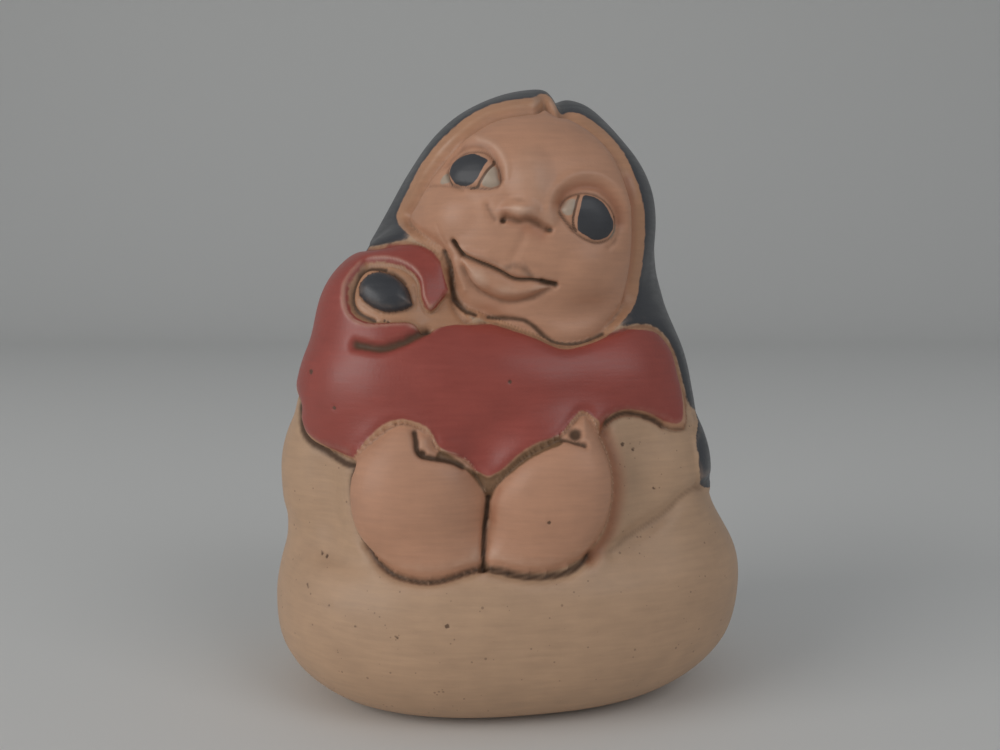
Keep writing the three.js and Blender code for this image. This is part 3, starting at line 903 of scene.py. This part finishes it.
class Shader:
    """The node net of one material."""

    def __init__(self, material):
        material.use_nodes = True
        self.tree = material.node_tree
        self.surface = self.tree.nodes["Principled BSDF"]

    def node(self, kind, settings, sockets, output=0):
        made = self.tree.nodes.new(kind)
        for name, value in settings.items():
            setattr(made, name, value)
        self.fill(made, sockets)
        return Wire(self, made.outputs[output])

    def fill(self, made, sockets):
        for name, value in sockets.items():
            if isinstance(value, Wire):
                self.tree.links.new(value.socket, made.inputs[name])
            else:
                made.inputs[name].default_value = value

    def stored(self, name):
        return self.node("ShaderNodeAttribute", {"attribute_name": name}, {}, "Fac")

    def noise(self, place, size, detail=3):
        return self.node("ShaderNodeTexNoise", {}, {"Vector": place, "Scale": 1 / (size * MM), "Detail": detail}, "Fac")

    def dots(self, place, size):
        return self.node("ShaderNodeTexVoronoi", {}, {"Vector": place, "Scale": 1 / (size * MM)}, "Distance")

    def stretched(self, place, factors):
        return self.node("ShaderNodeVectorMath", {"operation": "MULTIPLY"}, {0: place, 1: factors})

    def step(self, value, low, high, start=0.0, end=1.0):
        sockets = {"Value": value, "From Min": low, "From Max": high, "To Min": start, "To Max": end}
        return self.node("ShaderNodeMapRange", {"interpolation_type": "SMOOTHSTEP"}, sockets)

    def mix(self, share, under, over):
        settings = {"data_type": "RGBA", "clamp_factor": True}
        return self.node("ShaderNodeMix", settings, {0: share, 6: under, 7: over}, 2)

    def blend(self, share, under, over):
        return self.node("ShaderNodeMix", {"data_type": "FLOAT"}, {0: share, 2: under, 3: over})


# %% [markdown]
# ## Slip, scraped clay and soot
# The maker brushed liquid coloured clay on each part: cream on the dress, peach on the skin, red on the
# wrap and black on the hair. Then the lines were scraped clean, so bare peach clay shows beside them.

# %% The colours
CREAM = (0.50, 0.32, 0.20, 1)
SKIN = (0.52, 0.27, 0.165, 1)
RED = (0.32, 0.062, 0.045, 1)
BLACK = (0.04, 0.042, 0.048, 1)
BARE = (0.48, 0.25, 0.14, 1)
# pale rubbed clay, also laid on ridges, tips and the lower lip as a painted highlight
PALE_AND_HIGHLIGHT = (0.68, 0.46, 0.34, 1)
# olive, laid in hollows and in the gap between hands and cloth as painted shade
OLIVE = (0.22, 0.12, 0.06, 1)
# rust clay, also painted under the nose and under the right brow as painted shade
RUST = (0.36, 0.13, 0.06, 1)
# brown slip, also painted into folds, creases, nostrils and the upper lip as painted shade
BROWN = (0.09, 0.045, 0.022, 1)
WHITE = (0.42, 0.33, 0.25, 1)

clay_finish = bpy.data.materials.new("burnished_clay")
paint = Shader(clay_finish)
place = paint.node("ShaderNodeTexCoord", {}, {}, "Object")
print("the finish is", clay_finish.name)

# %% [markdown]
# ## The brush and the stone
# Slip goes on with a brush, so its thickness varies in streaks: across on the dress, down on the hair. The
# stone that rubs it leaves fine tracks the same way. Grit in the clay shows as small grey-brown specks.

# %% Streaks, mottling and specks
across_streaks = paint.noise(paint.stretched(place, (0.12, 0.12, 1)), 0.9, 3)
down_streaks = paint.noise(paint.stretched(place, (1, 1, 0.12)), 0.7, 3)
mottling = paint.noise(place, 7, 4)
grain = paint.noise(place, 0.45, 4)
wobble = paint.noise(place, 1.6, 3) * 0.5 - 0.25
speck_size = paint.step(paint.noise(place, 3, 1), 0.45, 0.7, 0.0, 0.2)
specks = paint.step(paint.dots(place, 1.4) - speck_size, -0.04, 0.02, 1.0, 0.0)

# %% Lay the slips on each other
WET_EDGE = 0.12


def slip_cover(name, offset=0.0, edge=WET_EDGE):
    return paint.step(paint.stored(name) + wobble, offset - edge, offset + edge)


covers = {
    "bare_edge": slip_cover("wrap", -0.1),
    "red": slip_cover("red", 0, 0.25),
    "hair": slip_cover("hair", 0.2),
    "hair_edge": slip_cover("face", -1.3),
    "face": slip_cover("face", 0.1, 0.3),
    "opening": slip_cover("opening", 0),
    "baby_hair": slip_cover("baby_hair", 0),
    "hands": slip_cover("hands", 0, 0.3),
    "palm_gap": slip_cover("palm_gap", 0, 0.3),
    "whites": slip_cover("whites", 0, 0.15),
    "pupils": slip_cover("pupils", 0, 0.1),
}
colour = paint.mix(specks * 0.45, CREAM, BROWN)
colour = paint.mix(covers["bare_edge"], colour, BARE)
colour = paint.mix(covers["red"], colour, RED)
colour = paint.mix(covers["hair"], colour, BLACK)
colour = paint.mix(covers["hair_edge"], colour, BARE)
colour = paint.mix(covers["face"], colour, SKIN)
colour = paint.mix(covers["opening"], colour, BARE)
colour = paint.mix(covers["baby_hair"], colour, BLACK)
colour = paint.mix(covers["hands"], colour, SKIN)
# The gap between hands and cloth is painted olive: painted shade.
colour = paint.mix(covers["palm_gap"], colour, OLIVE)
colour = paint.mix(covers["whites"], colour, WHITE)
colour = paint.mix(covers["pupils"], colour, BLACK)

# %% Tone, painted highlight and painted shade from the relief, and the tints of the marks
MOTTLING_SHARE = 0.3
STREAK_SHARE = 0.25

shade = 1 + (mottling - 0.5) * MOTTLING_SHARE + (across_streaks - 0.5) * STREAK_SHARE
colour = paint.node("ShaderNodeVectorMath", {"operation": "SCALE"}, {0: colour, "Scale": shade})
# Ridges are mixed towards pale and hollows towards olive: painted highlight and painted shade.
relief = paint.stored("relief")
colour = paint.mix(paint.step(relief + wobble * 0.4, 0.08, 0.5, 0.0, 0.4), colour, PALE_AND_HIGHLIGHT)
colour = paint.mix(paint.step(relief + wobble * 0.4, -0.6, -0.1, 0.45, 0.0), colour, OLIVE)
# The pale tint is rubbed clay and painted highlight; rust and brown are real slip and painted shade in the folds,
# creases and hollows that the marks name.
colour = paint.mix(paint.stored("pale") * (0.6 + wobble), colour, PALE_AND_HIGHLIGHT)
colour = paint.mix(paint.stored("rust") * 0.8, colour, RUST)
colour = paint.mix(paint.step(paint.stored("brown") + wobble * 0.6, 0.1, 0.8), colour, BROWN)
colour = paint.mix(paint.step(paint.stored("cracks"), -0.1, 0.1, 0.0, 0.85), colour, BROWN)
colour = paint.mix(paint.step(paint.stored("pits"), -0.15, 0.1, 0.0, 0.85), colour, BROWN)

# %% The burnished shine
dark = paint.step(paint.stored("hair"), 0, 0.6)
smooth_red = covers["red"]
roughness = paint.blend(smooth_red, 0.58, 0.42)
roughness = paint.blend(dark, roughness, 0.38)
roughness = paint.blend(covers["face"], roughness, 0.5)
roughness = paint.blend(paint.stored("brown"), roughness, 0.85)
roughness = roughness + (across_streaks - 0.5) * 0.2 + (mottling - 0.5) * 0.15
bumps = grain * 0.03 + across_streaks * 0.05 + down_streaks * 0.02
bump = paint.node("ShaderNodeBump", {}, {"Strength": 1, "Distance": MM, "Height": bumps})
paint.fill(paint.surface, {"Base Color": colour, "Roughness": roughness, "Normal": bump})
paint.fill(paint.surface, {"Coat Weight": 0.12, "Coat Roughness": 0.25})

figurine.data.materials.clear()
figurine.data.materials.append(clay_finish)
print("the finish has", len(paint.tree.nodes), "nodes")

# %% [markdown]
# ## The floor and the light
# A potter would photograph this on a pale sheet that curves up behind it, by a soft window.

# %% A sheet that curves up
SHEET_HALF = 3
COVE_AT = 1.3
COVE_RADIUS = 0.6

bpy.ops.mesh.primitive_plane_add(size=2 * SHEET_HALF, location=(0, COVE_AT - SHEET_HALF, 0))
sheet = bpy.context.object
sheet.name = "pale_sheet"
bpy.ops.object.transform_apply(location=True, rotation=False, scale=False)
bpy.ops.object.mode_set(mode="EDIT")
bpy.ops.mesh.select_all(action="DESELECT")
bpy.ops.object.mode_set(mode="OBJECT")
for edge in sheet.data.edges:
    edge.select = all(sheet.data.vertices[i].co.y > COVE_AT - 0.01 for i in edge.vertices)
bpy.ops.object.mode_set(mode="EDIT")
bpy.ops.mesh.select_mode(type="EDGE")
bpy.ops.mesh.spin(
    steps=16, angle=-math.pi / 2, center=(0, COVE_AT, COVE_RADIUS), axis=(1, 0, 0)
)
bpy.ops.mesh.extrude_region_move(TRANSFORM_OT_translate={"value": (0, 0, SHEET_HALF)})
bpy.ops.object.mode_set(mode="OBJECT")
bpy.ops.object.shade_smooth()
print("the sheet is", [round(side, 2) for side in sheet.dimensions], "m")

sheet_finish = bpy.data.materials.new("pale_sheet")
card = Shader(sheet_finish)
card.fill(card.surface, {"Base Color": (0.74, 0.74, 0.72, 1), "Roughness": 0.7})
sheet.data.materials.append(sheet_finish)


# %% Soft lights
def soft_light(name, azimuth, elevation, distance, size, power, tint):
    turn, rise = math.radians(azimuth), math.radians(elevation)
    way = Vector((math.sin(turn) * math.cos(rise), -math.cos(turn) * math.cos(rise), math.sin(rise)))
    middle = Vector((0, 0, 0.06))
    bpy.ops.object.light_add(type="AREA", location=middle + way * distance)
    light = bpy.context.object
    light.name = name
    light.rotation_euler = way.to_track_quat("Z", "Y").to_euler()
    light.data.shape = "SQUARE"
    light.data.size = size
    light.data.energy = power
    light.data.color = tint


soft_light("window", -55, 20, 1.5, 1.0, 9, (1.0, 0.98, 0.96))
soft_light("room", 42, 35, 1.5, 0.8, 3.5, (0.97, 0.98, 1.0))
world = bpy.data.worlds.new("room")
world.use_nodes = True
world.node_tree.nodes["Background"].inputs["Color"].default_value = (0.93, 0.96, 1.0, 1)
world.node_tree.nodes["Background"].inputs["Strength"].default_value = 0.28
bpy.context.scene.world = world
bpy.context.scene.view_settings.view_transform = "Standard"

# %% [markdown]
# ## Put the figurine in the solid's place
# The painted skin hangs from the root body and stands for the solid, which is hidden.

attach(figurine, "root")
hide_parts(SOLID)
